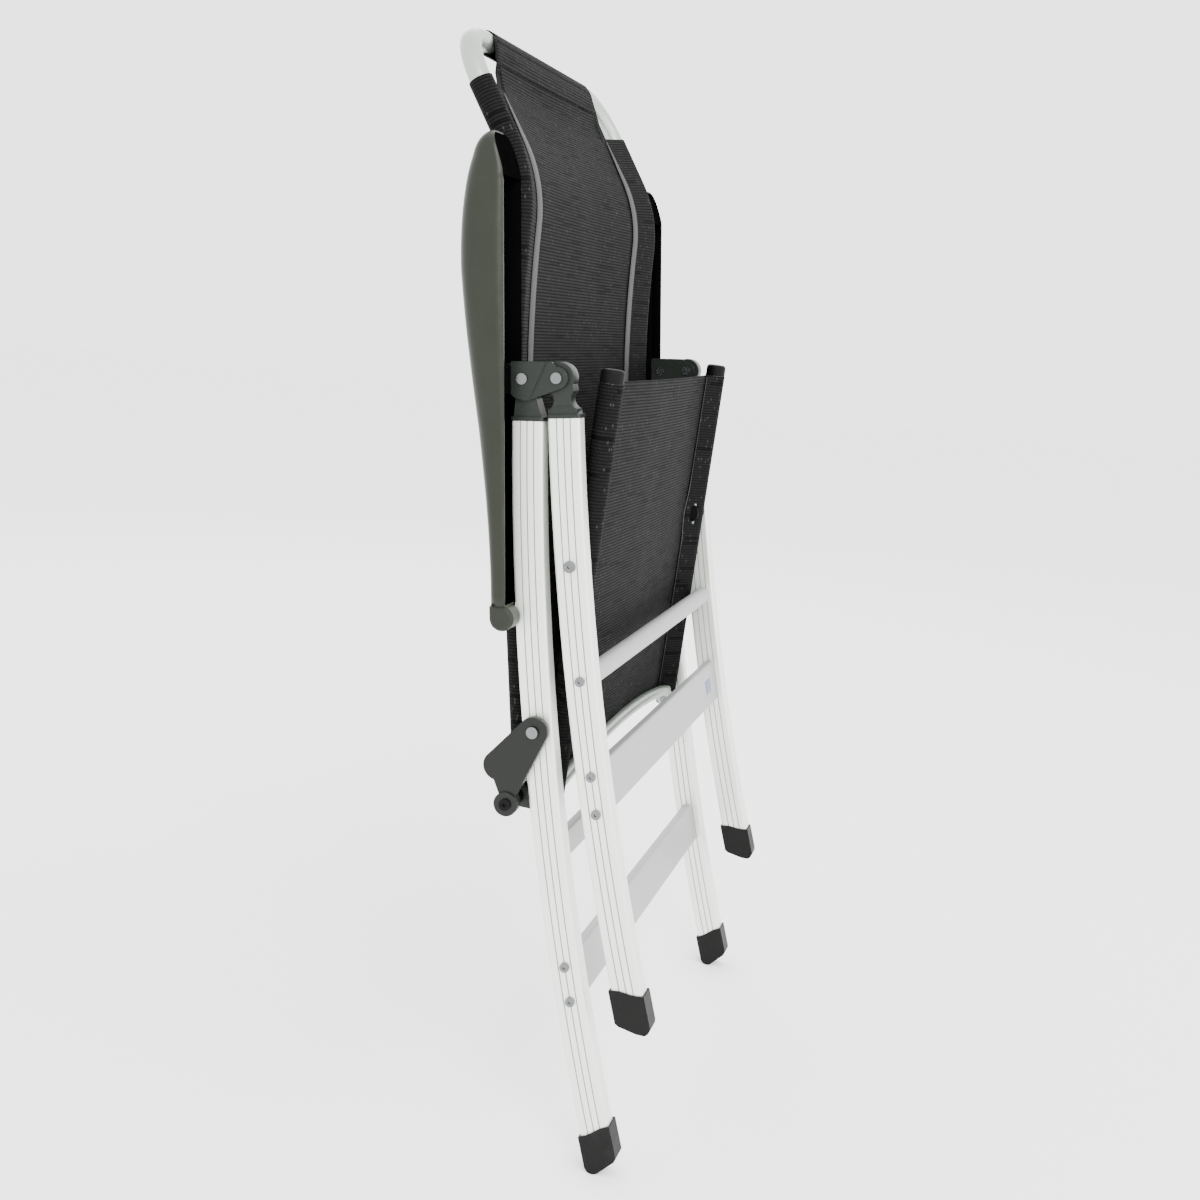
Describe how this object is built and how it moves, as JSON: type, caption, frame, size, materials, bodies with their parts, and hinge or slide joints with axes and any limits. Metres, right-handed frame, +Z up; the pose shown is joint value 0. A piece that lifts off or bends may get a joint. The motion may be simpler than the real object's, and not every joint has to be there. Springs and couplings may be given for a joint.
{
  "type": "folding camp chair",
  "caption": "Folding reclining camp chair with curved aluminium legs, mesh sling seat and back, and channelled plastic armrests, stored folded upright.",
  "frame": {"origin": "middle of the bounding box at floor level, folded and standing on its rear feet", "axes": "+Z up along the folded chair, +X to the sitter's left, -Y to the front"},
  "size_m": [0.632, 0.3079, 1.1562],
  "materials": {
    "anodised_leg": "satin anodised",
    "crossbar": "satin",
    "tube": "satin anodised",
    "hinge_plastic": "fine grain",
    "boot_rubber": "matte",
    "steel": "zinc plated",
    "black_plastic": "matte",
    "bracket": "fine grain",
    "mesh_fabric": "woven",
    "arm_plastic": "fine grain"
  },
  "bodies": {
    "front_frame": {"front_leg_left": "anodised_leg", "front_leg_right": "anodised_leg", "front_upper_bar": "crossbar", "front_lower_bar": "crossbar", "front_hinge_left": "hinge_plastic", "front_hinge_right": "hinge_plastic", "front_boot_left": "boot_rubber", "front_boot_right": "boot_rubber", "front_screws": "steel", "seat_pivot_bolts": "steel", "pivot_spacers": "black_plastic", "pivot_knobs": "black_plastic"},
    "rear_frame": {"rear_leg_left": "anodised_leg", "rear_leg_right": "anodised_leg", "rear_upper_bar": "crossbar", "rear_lower_bar": "crossbar", "rear_hinge_left": "hinge_plastic", "rear_hinge_right": "hinge_plastic", "rear_boot_left": "boot_rubber", "rear_boot_right": "boot_rubber", "rear_screws": "steel", "hinge_rivets": "steel", "shoe_rivets": "steel", "link_rivets": "steel"},
    "link_left": {"link_plate_left": "hinge_plastic", "link_bolt_left": "black_plastic"},
    "link_right": {"link_plate_right": "hinge_plastic", "link_bolt_right": "black_plastic"},
    "shoe_left": {"slide_shoe_left": "black_plastic"},
    "shoe_right": {"slide_shoe_right": "black_plastic"},
    "seat": {"seat_rail_left": "tube", "seat_rail_right": "tube", "seat_rear_bar": "tube", "seat_cap_left": "black_plastic", "seat_cap_right": "black_plastic", "seat_bracket_left": "bracket", "seat_bracket_right": "bracket", "seat_rivets": "steel", "seat_hinge_bolts": "steel", "seat_fabric": "mesh_fabric"},
    "back_bushes": {"hinge_bush_left": "steel", "hinge_bush_right": "steel"},
    "backrest": {"back_tube_left": "tube", "back_tube_right": "tube", "head_tube_left": "tube", "head_tube_right": "tube", "back_top_bar": "tube", "back_lower_bar": "tube", "back_end_left": "black_plastic", "back_end_right": "black_plastic", "back_fabric": "mesh_fabric", "head_fabric": "mesh_fabric", "arm_pins": "steel"},
    "arm_bushes": {"arm_bush_left": "steel", "arm_bush_right": "steel"},
    "armrest_left": {"armrest_left": "arm_plastic", "arm_rack_left": "black_plastic"},
    "armrest_right": {"armrest_right": "arm_plastic", "arm_rack_right": "black_plastic"}
  },
  "joints": [
    {"name": "fold", "type": "hinge", "parent": "front_frame", "child": "rear_frame", "pos_m": [0, -0.0046, 0.8081], "axis": [1, 0, 0], "range_deg": [0, 44.9]},
    {"name": "seat_fold", "type": "hinge", "parent": "front_frame", "child": "seat", "pos_m": [0, -0.03196, 0.6252], "axis": [1, 0, 0], "range_deg": [0, 81.72]},
    {"name": "link_fold_left", "type": "hinge", "parent": "rear_frame", "child": "link_left", "pos_m": [0, -0.01016, 0.45601], "axis": [1, 0, 0], "range_deg": [0, 133.87]},
    {"name": "shoe_turn_left", "type": "hinge", "parent": "rear_frame", "child": "shoe_left", "pos_m": [0, 0.03063, 0.80456], "axis": [1, 0, 0], "range_deg": [0, 45.05]},
    {"name": "link_fold_right", "type": "hinge", "parent": "rear_frame", "child": "link_right", "pos_m": [0, -0.01016, 0.45601], "axis": [1, 0, 0], "range_deg": [0, 133.87]},
    {"name": "shoe_turn_right", "type": "hinge", "parent": "rear_frame", "child": "shoe_right", "pos_m": [0, 0.03063, 0.80456], "axis": [1, 0, 0], "range_deg": [0, 45.05]},
    {"name": "back_fold", "type": "hinge", "parent": "seat", "child": "back_bushes", "pos_m": [0, 0.01246, 0.37795], "axis": [1, 0, 0], "range_deg": [-94.42, 0]},
    {"name": "recline", "type": "hinge", "parent": "back_bushes", "child": "backrest", "pos_m": [0, 0.01246, 0.37795], "axis": [-1, 0, 0], "range_deg": [0, 30]},
    {"name": "arm_tilt", "type": "hinge", "parent": "backrest", "child": "arm_bushes", "pos_m": [0, 0.02731, 0.56877], "axis": [1, 0, 0], "range_deg": [0, 22.34]},
    {"name": "arm_fold_left", "type": "hinge", "parent": "arm_bushes", "child": "armrest_left", "pos_m": [0, 0.02731, 0.56877], "axis": [1, 0, 0], "range_deg": [0, 102.25]},
    {"name": "arm_fold_right", "type": "hinge", "parent": "arm_bushes", "child": "armrest_right", "pos_m": [0, 0.02731, 0.56877], "axis": [1, 0, 0], "range_deg": [0, 102.25]}
  ],
  "couplings": [
    {"joint": "seat_fold", "follows": "fold", "ratio": 1.8189},
    {"joint": "back_fold", "follows": "fold", "ratio": -2.1018},
    {"joint": "arm_tilt", "follows": "recline", "ratio": 0.743},
    {"joint": "link_fold_left", "follows": "fold", "ratio": 2.9805},
    {"joint": "shoe_turn_left", "follows": "fold", "ratio": 1.0022},
    {"joint": "arm_fold_left", "follows": "fold", "ratio": 2.2762},
    {"joint": "link_fold_right", "follows": "fold", "ratio": 2.9805},
    {"joint": "shoe_turn_right", "follows": "fold", "ratio": 1.0022},
    {"joint": "arm_fold_right", "follows": "fold", "ratio": 2.2762}
  ]
}
